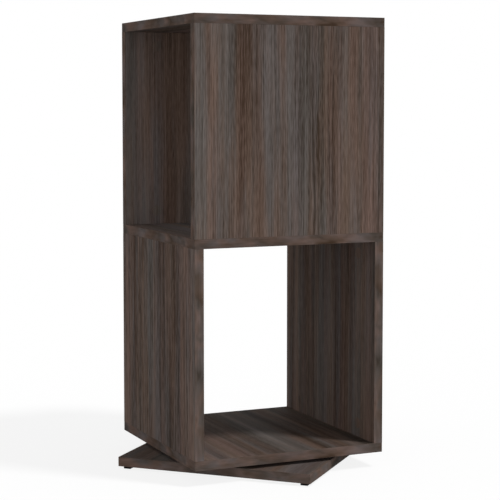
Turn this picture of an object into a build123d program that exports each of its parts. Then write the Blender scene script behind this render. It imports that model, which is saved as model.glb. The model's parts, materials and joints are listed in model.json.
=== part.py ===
from build123d import *

import os
from math import hypot

# Revolving bookcase: two open tiers, set crosswise, that turn on a ball swivel above a square base.
# Lengths are in millimetres and +Z is up. The origin is on the floor, on the axis the case turns about.
# The case stands square to X and Y, and the base under it is turned by BASE_TURN.

# Boards
CASE_WIDTH = 345.0  # each side of the square case
TIER_HEIGHT = 345.0  # clear height of each tier
BASE_WIDTH = 345.0  # each side of the square base
BASE_TURN = 45.0  # degrees from the case's sides to the base's sides
BOARD_THICKNESS = 16.0
BLIND_WEB = 5.0  # board left beyond the end of a blind hole
HOLE_ROOM = 0.05  # room all round a fastener in its own hole

# Edging glued to the boards' edges
EDGING_THICKNESS = 0.8
EDGING_ROUND = 0.4

# Cam fittings and dowels that join the panels' ends to the boards
FITTING_INSET = 60.0  # from a panel's upright edge to its bolt
DOWEL_PITCH = 32.0  # from a bolt to the dowel beside it
BOLT_THREAD_DIAMETER = 6.0
BOLT_COLLAR_DIAMETER = 7.4
BOLT_COLLAR_LENGTH = 2.5
BOLT_SHANK_DIAMETER = 6.0
BOLT_NECK_DIAMETER = 4.0
BOLT_HEAD_DIAMETER = 6.4
BOLT_HEAD_LENGTH = 4.0
BOLT_BORE_ROOM = 0.3  # room round the widest part of a bolt in the panel's end
CAM_DIAMETER = 15.0
CAM_SETBACK = 24.0  # from a panel's end to the cam's axis
CAM_FLOOR = 1.2  # from the bolt's head to the bottom of the cam
CAM_SLOT_ROOM = 0.3  # room round the bolt inside the cam
CAM_DRIVE_LENGTH = 7.0
CAM_DRIVE_WIDTH = 1.4
CAM_DRIVE_DEPTH = 2.0
COVER_MARGIN = 2.0  # how far a cover disc reaches past its cam
COVER_THICKNESS = 0.3
DOWEL_DIAMETER = 8.0
DOWEL_IN_PANEL = 22.0  # depth of a dowel's hole in a panel's end
DOWEL_END_GAP = 1.0  # glue space beyond the dowel
DOWEL_CHAMFER = 1.0

# Swivel: two dished plates that a hollow rivet holds together over a ring of caged balls
SWIVEL_HEIGHT = 6.0
PLATE_WIDTH = 150.0
PLATE_CORNER = 12.0
PLATE_THICKNESS = 1.2
RACE_INSET = 17.0  # from a plate's side to the line of the balls
RACE_DEPTH = 0.5
RACE_ROOM = 0.15  # how much wider the race's radius is than the ball's
RUNNING_ROOM = 0.1  # room between pieces that turn against each other
BALL_COUNT = 24
CAGE_WIDTH = 9.0
CAGE_GAP = 1.1  # from the cage to each plate
POCKET_ROOM = 0.1
RIVET_DIAMETER = 24.0
RIVET_WALL = 1.5
RIVET_FLANGE = 4.0
RIVET_BOARD_GAP = 0.3  # from a flange of the rivet to the board beside it
DISH_MARGIN = 9.0  # flat of the dish beyond the rivet's flange
DISH_RUN = 5.0  # width of the dish's sloping wall
DISH_GAP = 0.5  # between the floors of the two dishes

# Screws that hold the plates, and the plugged hole that lets a driver reach the upper ones
SCREW_INSET = 13.0  # from a plate's sides to its screws
SCREW_DIAMETER = 3.5
SCREW_HEAD_DIAMETER = 7.5
SCREW_HEAD_ROUND = 0.9
SCREW_HOLE_ROOM = 0.3
SCREW_TIP = 3.0
HEAD_PASSING_GAP = 0.6  # between upper and lower heads as they pass each other
ACCESS_DIAMETER = 12.0
PLUG_STEM = 7.0
PLUG_RIM = 2.0
PLUG_RIM_THICKNESS = 1.0
PLUG_ROUND = 0.5

# Feet, each held by a nail
FOOT_HEIGHT = 5.0
FOOT_WIDTH = 12.5  # each side of a square foot
FOOT_ROUND = 0.5
FOOT_INSET = 7.0  # from the base's sides to a foot's sides
NAIL_DIAMETER = 2.0
NAIL_HEAD_DIAMETER = 6.0
NAIL_HEAD_THICKNESS = 1.0
NAIL_HEAD_ROOM = 0.3
NAIL_RECESS = 1.0  # from the floor to the nail's head
NAIL_TIP = 2.5

# Heights of the boards and tiers
base_bottom = FOOT_HEIGHT
base_top = base_bottom + BOARD_THICKNESS
case_bottom = base_top + SWIVEL_HEIGHT
lower_floor = case_bottom + BOARD_THICKNESS
middle_bottom = lower_floor + TIER_HEIGHT
upper_floor = middle_bottom + BOARD_THICKNESS
top_bottom = upper_floor + TIER_HEIGHT

# Sizes that follow from the ones above
edging_round = min(EDGING_ROUND, EDGING_THICKNESS / 2)
case_core = CASE_WIDTH - 2 * EDGING_THICKNESS
base_core = BASE_WIDTH - 2 * EDGING_THICKNESS
blind_depth = BOARD_THICKNESS - BLIND_WEB
bolt_bore = max(BOLT_COLLAR_DIAMETER, BOLT_SHANK_DIAMETER, BOLT_HEAD_DIAMETER) + 2 * BOLT_BORE_ROOM
cam_depth = BOARD_THICKNESS / 2 + BOLT_HEAD_DIAMETER / 2 + CAM_FLOOR
dowel_length = blind_depth + DOWEL_IN_PANEL - DOWEL_END_GAP
plate_gap = SWIVEL_HEIGHT - 2 * PLATE_THICKNESS
race_radius = PLATE_WIDTH / 2 - RACE_INSET
ball_radius = plate_gap / 2 + RACE_DEPTH - RUNNING_ROOM
groove_radius = ball_radius + RACE_ROOM
rivet_radius = RIVET_DIAMETER / 2
flange_radius = rivet_radius + RIVET_FLANGE
dish_floor_radius = flange_radius + DISH_MARGIN
dish_radius = dish_floor_radius + DISH_RUN
dish_depth = (plate_gap - DISH_GAP) / 2
screw_pitch = PLATE_WIDTH - 2 * SCREW_INSET
screw_radius = hypot(screw_pitch / 2, screw_pitch / 2)
screw_head_height = (plate_gap - HEAD_PASSING_GAP) / 2
foot_pitch = BASE_WIDTH - 2 * FOOT_INSET - FOOT_WIDTH

# Where the fittings stand along a panel's end
bolt_across = CASE_WIDTH / 2 - FITTING_INSET
dowel_across = bolt_across - DOWEL_PITCH
bolt_points = [(-bolt_across, 0), (bolt_across, 0)]
dowel_points = [(-dowel_across, 0), (dowel_across, 0)]

# Planes that pieces stand on. The two seats face each other across the swivel's gap.
UP = Vector(0, 0, 1)
DOWN = Vector(0, 0, -1)
turned = Plane.XY.rotated((0, 0, BASE_TURN))
base_under = -turned.offset(base_bottom)
lower_seat = turned.offset(base_top)
upper_seat = -Plane.XY.offset(case_bottom)

# The access hole is as far from the axis as the plates' screws, square to a side of the base, so that
# the upper plate's screws come over it one after the other.
access_centre = base_under.from_local_coords((screw_radius, 0, 0))
access_mouth = Plane(origin=access_centre, x_dir=base_under.x_dir, z_dir=base_under.z_dir)

os.makedirs("parts", exist_ok=True)


def save(piece, name):
    """Label a finished piece and write it to its own file."""
    piece.part.label = name
    export_step(piece.part, f"parts/{name}.step")


def upright(plane):
    """Plane through a seat's axis, with x along the seat and y along its normal."""
    return Plane(origin=plane.origin, x_dir=plane.x_dir, z_dir=-plane.y_dir)


def panel_end(inward, level, into):
    """Plane on a panel's end: x along the panel, y towards the tier's inside, z into the panel."""
    middle = inward * (BOARD_THICKNESS / 2 - CASE_WIDTH / 2) + Vector(0, 0, level)
    return Plane(origin=middle, x_dir=inward.cross(into), z_dir=into)


def tier_ends(inward, floor):
    """Floor and ceiling ends of a panel in a tier. The vector points from the panel into the tier."""
    return panel_end(inward, floor, UP), panel_end(inward, floor + TIER_HEIGHT, DOWN)


def cam_faces(end):
    """Planes on a panel's inner face at the cams beside an end, with x away from the end."""
    faces = []
    for across, _ in bolt_points:
        centre = end.from_local_coords((across, BOARD_THICKNESS / 2, CAM_SETBACK))
        faces.append(Plane(origin=centre, x_dir=end.z_dir, z_dir=end.y_dir))
    return faces


def make_edging_loop(name, plane, width):
    """Edging round all four sides of a square board that lies on the plane."""
    core = width - 2 * EDGING_THICKNESS
    with BuildPart() as loop:
        with BuildSketch(plane):
            RectangleRounded(width, width, EDGING_THICKNESS)
        extrude(amount=BOARD_THICKNESS)
        flat_faces = loop.faces().filter_by(Axis.Z)
        fillet(flat_faces.edges(), edging_round)
        with BuildSketch(plane):
            Rectangle(core, core)
        extrude(amount=BOARD_THICKNESS, mode=Mode.SUBTRACT)
    save(loop, name)


def make_case_board(name, level, ends, screw_seat=None):
    """Square board of the case, with holes for the panels' ends and for a swivel plate's screws."""
    plane = Plane.XY.offset(level)
    with BuildPart() as board:
        with BuildSketch(plane):
            Rectangle(case_core, case_core)
        extrude(amount=BOARD_THICKNESS)
        for end in ends:
            with Locations(end):
                with Locations(*bolt_points):
                    Hole(BOLT_THREAD_DIAMETER / 2 + HOLE_ROOM, depth=blind_depth)
                with Locations(*dowel_points):
                    Hole(DOWEL_DIAMETER / 2 + HOLE_ROOM, depth=blind_depth)
        if screw_seat:
            with Locations(screw_seat):
                with GridLocations(screw_pitch, screw_pitch, 2, 2):
                    Hole(SCREW_DIAMETER / 2 + HOLE_ROOM, depth=blind_depth)
    save(board, name)
    make_edging_loop(f"{name}_edging", plane, CASE_WIDTH)


def make_panel(name, ends):
    """Upright panel between two boards, with its fittings' holes, and the edging on its upright edges."""
    with BuildPart() as panel:
        with BuildSketch(ends[0]):
            Rectangle(case_core, BOARD_THICKNESS)
        extrude(amount=TIER_HEIGHT)
        for end in ends:
            with Locations(-end):
                with Locations(*bolt_points):
                    Hole(bolt_bore / 2, depth=CAM_SETBACK)
                with Locations(*dowel_points):
                    Hole(DOWEL_DIAMETER / 2 + HOLE_ROOM, depth=DOWEL_IN_PANEL)
            with Locations(*cam_faces(end)):
                Hole(CAM_DIAMETER / 2 + HOLE_ROOM, depth=cam_depth)
    save(panel, name)

    with BuildPart() as edging:
        with BuildSketch(ends[0]) as strips:
            with GridLocations(CASE_WIDTH - EDGING_THICKNESS, 0, 2, 1):
                Rectangle(EDGING_THICKNESS, BOARD_THICKNESS)
            fillet(strips.vertices().group_by(Axis.X)[0], edging_round)
            fillet(strips.vertices().group_by(Axis.X)[-1], edging_round)
        extrude(amount=TIER_HEIGHT)
    save(edging, f"{name}_edging")


def make_base_board():
    """Base board, with holes for the lower plate's screws and the feet's nails, and the access hole."""
    with BuildPart() as board:
        with BuildSketch(-base_under):
            Rectangle(base_core, base_core)
        extrude(amount=BOARD_THICKNESS)
        with Locations(lower_seat):
            with GridLocations(screw_pitch, screw_pitch, 2, 2):
                Hole(SCREW_DIAMETER / 2 + HOLE_ROOM, depth=blind_depth)
        with Locations(base_under):
            with GridLocations(foot_pitch, foot_pitch, 2, 2):
                Hole(NAIL_DIAMETER / 2 + HOLE_ROOM, depth=blind_depth)
        with Locations(access_mouth):
            Hole(ACCESS_DIAMETER / 2, depth=BOARD_THICKNESS)
    save(board, "base_board")
    make_edging_loop("base_board_edging", -base_under, BASE_WIDTH)


def make_access_plug():
    """Push-in plug that closes the access hole from below."""
    stem_radius = ACCESS_DIAMETER / 2 - HOLE_ROOM
    with BuildPart() as plug:
        with BuildSketch(access_mouth):
            Circle(ACCESS_DIAMETER / 2 + PLUG_RIM)
        extrude(amount=PLUG_RIM_THICKNESS)
        rim_edge = plug.edges().filter_by(GeomType.CIRCLE).sort_by(Axis.Z)[0]
        fillet(rim_edge, min(PLUG_ROUND, PLUG_RIM_THICKNESS / 2))
        with BuildSketch(access_mouth):
            Circle(stem_radius)
        extrude(amount=-PLUG_STEM)
    save(plug, "access_plug")


def make_cam_bolts(ends):
    """Bolts screwed into the boards' faces, whose heads the cams grip."""
    head_start = CAM_SETBACK - BOLT_HEAD_LENGTH / 2
    head_end = CAM_SETBACK + BOLT_HEAD_LENGTH / 2
    neck_start = CAM_SETBACK - CAM_DIAMETER / 2 - CAM_SLOT_ROOM
    steps = [
        (BOLT_THREAD_DIAMETER / 2, -blind_depth, 0),
        (BOLT_COLLAR_DIAMETER / 2, 0, BOLT_COLLAR_LENGTH),
        (BOLT_SHANK_DIAMETER / 2, BOLT_COLLAR_LENGTH, neck_start),
        (BOLT_NECK_DIAMETER / 2, neck_start, head_start),
        (BOLT_HEAD_DIAMETER / 2, head_start, head_end),
    ]
    with BuildPart() as bolt:
        for radius, start, finish in steps:
            with BuildSketch(Plane.XY.offset(start)):
                Circle(radius)
            extrude(amount=finish - start)
    with BuildPart() as bolts:
        for end in ends:
            with Locations(end):
                with Locations(*bolt_points):
                    add(bolt.part)
    save(bolts, "cam_bolts")


def make_cam_locks(ends):
    """Cams let into the panels' inner faces, each open at one side for its bolt."""
    head_slot = BOLT_HEAD_LENGTH / 2 + CAM_SLOT_ROOM
    slots = [
        (BOLT_NECK_DIAMETER / 2 + CAM_SLOT_ROOM, -CAM_DIAMETER, 0),
        (BOLT_HEAD_DIAMETER / 2 + CAM_SLOT_ROOM, -head_slot, head_slot),
    ]
    with BuildPart() as cam:
        with BuildSketch(Plane.XY):
            Circle(CAM_DIAMETER / 2)
        extrude(amount=-cam_depth)
        for radius, start, finish in slots:
            with BuildSketch(Plane.YZ.offset(start)):
                with Locations((0, -BOARD_THICKNESS / 2)):
                    Circle(radius)
                    Rectangle(2 * radius, cam_depth, align=(Align.CENTER, Align.MAX))
            extrude(amount=finish - start, mode=Mode.SUBTRACT)
        with BuildSketch(Plane.XY):
            Rectangle(CAM_DRIVE_LENGTH, CAM_DRIVE_WIDTH)
            Rectangle(CAM_DRIVE_WIDTH, CAM_DRIVE_LENGTH)
        extrude(amount=-CAM_DRIVE_DEPTH, mode=Mode.SUBTRACT)
    with BuildPart() as cams:
        for end in ends:
            with Locations(*cam_faces(end)):
                add(cam.part)
    save(cams, "cam_locks")


def make_cam_covers(ends):
    """Thin printed discs stuck over the cams."""
    cover_radius = CAM_DIAMETER / 2 + COVER_MARGIN
    with BuildPart() as covers:
        for end in ends:
            with Locations(*cam_faces(end)):
                Cylinder(cover_radius, COVER_THICKNESS, align=(Align.CENTER, Align.CENTER, Align.MIN))
    save(covers, "cam_covers")


def make_dowels(ends):
    """Wooden dowels between the panels' ends and the boards."""
    with BuildPart() as dowel:
        with BuildSketch(Plane.XY.offset(-blind_depth)):
            Circle(DOWEL_DIAMETER / 2)
        extrude(amount=dowel_length)
        chamfer(dowel.edges().filter_by(GeomType.CIRCLE), DOWEL_CHAMFER)
    with BuildPart() as dowels:
        for end in ends:
            with Locations(end):
                with Locations(*dowel_points):
                    add(dowel.part)
    save(dowels, "wood_dowels")


def make_swivel_plate(name, seat, bore_radius):
    """Square plate on its seat, with a ball race pressed in its face and a dish round its bore."""
    with BuildPart() as plate:
        with BuildSketch(seat):
            RectangleRounded(PLATE_WIDTH, PLATE_WIDTH, PLATE_CORNER)
            Circle(dish_radius, mode=Mode.SUBTRACT)
            with GridLocations(screw_pitch, screw_pitch, 2, 2):
                Circle(SCREW_DIAMETER / 2 + SCREW_HOLE_ROOM, mode=Mode.SUBTRACT)
        extrude(amount=PLATE_THICKNESS)
        with BuildSketch(upright(seat)):
            with BuildLine():
                Polyline(
                    (dish_radius, 0),
                    (dish_radius, PLATE_THICKNESS),
                    (dish_floor_radius, dish_depth + PLATE_THICKNESS),
                    (bore_radius, dish_depth + PLATE_THICKNESS),
                    (bore_radius, dish_depth),
                    (dish_floor_radius, dish_depth),
                    close=True,
                )
            make_face()
        revolve(axis=Axis.Z)
        with Locations(seat.offset(PLATE_THICKNESS - RACE_DEPTH + groove_radius)):
            Torus(race_radius, groove_radius, mode=Mode.SUBTRACT)
    save(plate, name)


def make_swivel_rivet():
    """Hollow rivet, fast in the lower plate, whose upper flange keeps the upper plate from lifting."""
    lower_flange = RIVET_BOARD_GAP
    lower_dish = dish_depth
    upper_dish = SWIVEL_HEIGHT - dish_depth + RUNNING_ROOM
    upper_flange = SWIVEL_HEIGHT - RIVET_BOARD_GAP
    inner_radius = rivet_radius - RIVET_WALL
    with BuildPart() as rivet:
        with BuildSketch(upright(lower_seat)):
            with BuildLine():
                Polyline(
                    (inner_radius, lower_flange),
                    (flange_radius, lower_flange),
                    (flange_radius, lower_dish),
                    (rivet_radius, lower_dish),
                    (rivet_radius, upper_dish),
                    (flange_radius, upper_dish),
                    (flange_radius, upper_flange),
                    (inner_radius, upper_flange),
                    close=True,
                )
            make_face()
        revolve(axis=Axis.Z)
    save(rivet, "swivel_rivet")


def make_ball_ring():
    """Ring of balls between the two races, and the flat cage that keeps them apart."""
    race_plane = Plane.XY.offset((base_top + case_bottom) / 2)
    cage_thickness = plate_gap - 2 * CAGE_GAP
    with BuildPart() as balls:
        with Locations(race_plane):
            with PolarLocations(race_radius, BALL_COUNT):
                Sphere(ball_radius)
    save(balls, "swivel_balls")

    with BuildPart() as cage:
        with BuildSketch(race_plane):
            Circle(race_radius + CAGE_WIDTH / 2)
            Circle(race_radius - CAGE_WIDTH / 2, mode=Mode.SUBTRACT)
            with PolarLocations(race_radius, BALL_COUNT):
                Circle(ball_radius + POCKET_ROOM, mode=Mode.SUBTRACT)
        extrude(amount=cage_thickness / 2, both=True)
    save(cage, "ball_cage")


def make_plate_screws(name, seat):
    """Low-headed screws that hold a swivel plate to its board."""
    shank_end = -PLATE_THICKNESS - blind_depth
    with BuildPart() as screw:
        with BuildSketch(Plane.XY):
            Circle(SCREW_HEAD_DIAMETER / 2)
        extrude(amount=screw_head_height)
        rim = screw.edges().filter_by(GeomType.CIRCLE).sort_by(Axis.Z)[-1]
        fillet(rim, min(SCREW_HEAD_ROUND, screw_head_height / 2))
        with BuildSketch(Plane.XZ):
            with BuildLine():
                Polyline(
                    (0, 0),
                    (SCREW_DIAMETER / 2, 0),
                    (SCREW_DIAMETER / 2, shank_end + SCREW_TIP),
                    (0, shank_end),
                    close=True,
                )
            make_face()
        revolve(axis=Axis.Z)
    with BuildPart() as screws:
        with Locations(seat.offset(PLATE_THICKNESS)):
            with GridLocations(screw_pitch, screw_pitch, 2, 2):
                add(screw.part)
    save(screws, name)


def foot_planes():
    """Planes on the floor under the base's corners, by the name of the side that each one lies on."""
    sides = ["back", "left", "front", "right"]
    corner = foot_pitch / 2
    corners = [(corner, corner), (-corner, corner), (-corner, -corner), (corner, -corner)]
    origins = [turned.from_local_coords((*point, 0)) for point in corners]
    return {side: Plane(origin, turned.x_dir, turned.z_dir) for side, origin in zip(sides, origins)}


def make_feet():
    """Square feet under the base's corners, hollowed for the heads of their nails."""
    recess_radius = NAIL_HEAD_DIAMETER / 2 + NAIL_HEAD_ROOM
    recess_depth = NAIL_RECESS + NAIL_HEAD_THICKNESS
    for side, plane in foot_planes().items():
        with BuildPart() as foot:
            with BuildSketch(plane):
                Rectangle(FOOT_WIDTH, FOOT_WIDTH)
            extrude(amount=FOOT_HEIGHT)
            uprights = foot.edges().filter_by(Axis.Z)
            fillet(uprights + foot.faces().sort_by(Axis.Z)[0].edges(), FOOT_ROUND)
            with Locations(-plane):
                CounterBoreHole(NAIL_DIAMETER / 2 + HOLE_ROOM, recess_radius, recess_depth, FOOT_HEIGHT)
        save(foot, f"foot_{side}")


def make_foot_nails():
    """Nails driven up through the feet into the base."""
    head_top = NAIL_RECESS + NAIL_HEAD_THICKNESS
    tip = base_bottom + blind_depth
    with BuildPart() as nail:
        with BuildSketch(Plane.XZ):
            with BuildLine():
                Polyline(
                    (0, NAIL_RECESS),
                    (NAIL_HEAD_DIAMETER / 2, NAIL_RECESS),
                    (NAIL_HEAD_DIAMETER / 2, head_top),
                    (NAIL_DIAMETER / 2, head_top),
                    (NAIL_DIAMETER / 2, tip - NAIL_TIP),
                    (0, tip),
                    close=True,
                )
            make_face()
        revolve(axis=Axis.Z)
    with BuildPart() as nails:
        with Locations(*foot_planes().values()):
            add(nail.part)
    save(nails, "foot_nails")


# Both ends of each panel, at the floor and the ceiling of its tier
panels = {
    "upper_front_panel": tier_ends(Vector(0, 1, 0), upper_floor),
    "upper_back_panel": tier_ends(Vector(0, -1, 0), upper_floor),
    "lower_left_panel": tier_ends(Vector(1, 0, 0), lower_floor),
    "lower_right_panel": tier_ends(Vector(-1, 0, 0), lower_floor),
}
upper_floor_ends, upper_ceiling_ends = zip(panels["upper_front_panel"], panels["upper_back_panel"])
lower_floor_ends, lower_ceiling_ends = zip(panels["lower_left_panel"], panels["lower_right_panel"])
all_ends = upper_floor_ends + upper_ceiling_ends + lower_floor_ends + lower_ceiling_ends

# Case
make_case_board("top_board", top_bottom, upper_ceiling_ends)
make_case_board("middle_board", middle_bottom, upper_floor_ends + lower_ceiling_ends)
make_case_board("bottom_board", case_bottom, lower_floor_ends, upper_seat)
for panel_name, panel_ends in panels.items():
    make_panel(panel_name, panel_ends)
make_cam_bolts(all_ends)
make_cam_locks(all_ends)
make_cam_covers(all_ends)
make_dowels(all_ends)

# Swivel
make_swivel_plate("swivel_lower_plate", lower_seat, rivet_radius + HOLE_ROOM)
make_swivel_plate("swivel_upper_plate", upper_seat, rivet_radius + RUNNING_ROOM)
make_swivel_rivet()
make_ball_ring()
make_plate_screws("swivel_lower_screws", lower_seat)
make_plate_screws("swivel_upper_screws", upper_seat)

# Base
make_base_board()
make_access_plug()
make_feet()
make_foot_nails()
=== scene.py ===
"""Dresses the revolving bookcase: smoked oak print, edging, cover discs, fittings, swivel and feet.

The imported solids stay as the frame. This script gives each of them its finish, builds the small repeated
pieces in more detail, and sets the case on a plain pale floor in soft light.
"""

import json
import logging
import math
from collections.abc import Iterable
from dataclasses import dataclass
from enum import Enum
from typing import Any, Optional, Union

import bpy
from mathutils import Euler, Matrix, Vector

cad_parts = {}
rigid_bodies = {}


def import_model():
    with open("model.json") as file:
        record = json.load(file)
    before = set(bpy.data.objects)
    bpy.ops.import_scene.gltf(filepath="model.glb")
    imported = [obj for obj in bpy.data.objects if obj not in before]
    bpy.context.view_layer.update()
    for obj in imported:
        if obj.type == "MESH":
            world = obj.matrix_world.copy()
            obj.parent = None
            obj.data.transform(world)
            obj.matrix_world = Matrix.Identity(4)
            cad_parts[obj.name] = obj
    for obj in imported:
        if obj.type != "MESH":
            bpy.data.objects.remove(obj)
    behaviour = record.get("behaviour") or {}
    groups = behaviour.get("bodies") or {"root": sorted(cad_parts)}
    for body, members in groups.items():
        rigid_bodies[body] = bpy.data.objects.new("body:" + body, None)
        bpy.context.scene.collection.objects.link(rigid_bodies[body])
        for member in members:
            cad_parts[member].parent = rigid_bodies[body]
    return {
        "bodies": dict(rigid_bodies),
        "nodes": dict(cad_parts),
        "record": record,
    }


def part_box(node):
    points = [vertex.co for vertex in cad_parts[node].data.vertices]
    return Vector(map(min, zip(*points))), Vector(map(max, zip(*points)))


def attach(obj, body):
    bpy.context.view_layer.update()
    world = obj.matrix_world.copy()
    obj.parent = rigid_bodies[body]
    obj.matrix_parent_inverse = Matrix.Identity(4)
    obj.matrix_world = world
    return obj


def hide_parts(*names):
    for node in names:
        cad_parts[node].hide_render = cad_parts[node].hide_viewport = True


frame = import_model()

LOG = logging.getLogger("bookcase")
MM = 0.001
DIAGONAL = math.sqrt(0.5)
# Painted light: the print's tone gradient reaches its full amount over this distance
PAINTED_LIGHT_REACH = 172.5  # half the height of a panel, in millimetres
UP = (0.0, 0.0, 1.0)
WHITE = (1.0, 1.0, 1.0, 1.0)

# Labels of sockets, most of them fed from the fields of the same names
TONES = ("Tone", "Tint", "Moss")
SHADES = ("Dark", "Light", "Grey Cast", "Brown Cast", "Mauve Cast", "Olive Cast")
OAK_DIALS = ("Tint Shift", "Moss Shift", "Swirl", "Swirl Dark", "Lift", "Contrast", "Fineness", "Fade")
EDGING_DIALS = ("Patches", "Lines", "Lift")
DISC_SIZES = ("Disc Radius", "Disc Thickness", "Disc Rim")
DOWEL_SIZES = ("Dowel Radius", "In Board", "In Panel", "Chamfer", "Groove")
HEAD_SIZES = ("Head Radius", "Head Height", "Slot Length", "Slot Width", "Slot Depth")
SHANK_SIZES = ("Root Radius", "Crest Radius", "Thread Pitch", "Length", "Tip")

Triple = tuple[float, float, float]
Node = bpy.types.Node
Socket = bpy.types.NodeSocket
Tree = bpy.types.NodeTree
Material = bpy.types.Material
Feed = Union[Socket, float, int, str, tuple, Vector, Euler]
Inputs = dict[Any, Feed]
Marks = dict[str, list[Vector]]


def linear(colour: Triple) -> tuple[float, ...]:
    """Turn a colour as seen on a screen, 0 to 255, into what a shader takes, with an alpha of 1."""
    parts = [part / 255 for part in colour]
    return (*(p / 12.92 if p <= 0.04045 else ((p + 0.055) / 1.055) ** 2.4 for p in parts), 1.0)


def named(owner: Any, labels: Iterable[str]) -> dict[str, Any]:
    """Read the fields of a piece or a finish by the labels of the sockets that take them."""
    return {label: getattr(owner, label.lower().replace(" ", "_")) for label in labels}


def metres(owner: Any, labels: Iterable[str]) -> dict[str, float]:
    """Read the lengths of a piece by their labels and turn them from millimetres into metres."""
    return {label: length * MM for label, length in named(owner, labels).items()}


@dataclass(frozen=True)
class Layer:
    """A layer of noise in a figure.

    Attributes:
        size: Size of its clouds along each axis, in millimetres.
        detail: How many finer layers lie over the clouds.
        rough: How strong each finer layer is against the one above it.
        share: How much of it goes into the tone.
        low: Level up to which a mask of it is empty.
        high: Level from which a mask of it is full.
    """

    size: Triple
    detail: float = 0.0
    rough: float = 0.5
    share: float = 1.0
    low: float = 0.3
    high: float = 0.7

    def dials(self) -> dict[str, float]:
        """Give the Noise Texture node's settings."""
        return {"Scale": 1.0, "Detail": self.detail, "Roughness": self.rough}


# Oak print: first axis across the grain, second into the board, third along the grain
WANDER = Layer((75, 31, 330), 1.0)
SWIRL = Layer((22, 23, 62), 1.0)
LINES = Layer((5.0, 6.1, 320), 1.0, 0.6, share=0.6)
HAIRS = Layer((1.5, 5.3, 150), 1.0, 0.7, share=1.6)
DASHES = Layer((1.2, 4.7, 15), share=0.85)
BANDS = Layer((60, 9.7, 1500), 1.0, 0.6, share=0.95)
STREAKS = Layer((18, 7.3, 600), 1.0, 0.6, share=0.9)
BROWNS = Layer((26, 8.3, 420), 3.0, 0.55, low=0.32, high=0.68)
OLIVES = Layer((31, 8.9, 1300), 1.0)
PORES = Layer((0.9, 3.1, 24), low=0.6, high=0.74)

# Edging: first axis along the strip, third across it
EDGING_BEND = Layer((41, 41, 16), 1.0)
EDGING_PATCHES = Layer((43, 43, 17), 2.0, 0.55)
EDGING_LINES = Layer((70, 70, 1.5), 1.0, 0.6, low=0.2, high=0.8)
EDGING_BROWNS = Layer((47, 47, 24), 1.0, low=0.26, high=0.72)

# Fittings: grain and clouds of size 1, scaled by each finish, and beech along its third axis
GRAIN = Layer((1, 1, 1), 2.0, 0.6, low=0.25, high=0.75)
CLOUDS = Layer((1, 1, 1), 3.0, 0.55)
BEECH_STREAKS = Layer((1.1, 1.1, 40), 2.0)
BEECH_FLECKS = Layer((0.35, 0.35, 3.2), low=0.62, high=0.72)


class Kind(Enum):
    """Kinds of socket that a node group takes in or puts out."""

    VALUE = "NodeSocketFloat"
    COUNT = "NodeSocketInt"
    VECTOR = "NodeSocketVector"
    COLOUR = "NodeSocketColor"
    SHAPE = "NodeSocketGeometry"
    FINISH = "NodeSocketMaterial"


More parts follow.
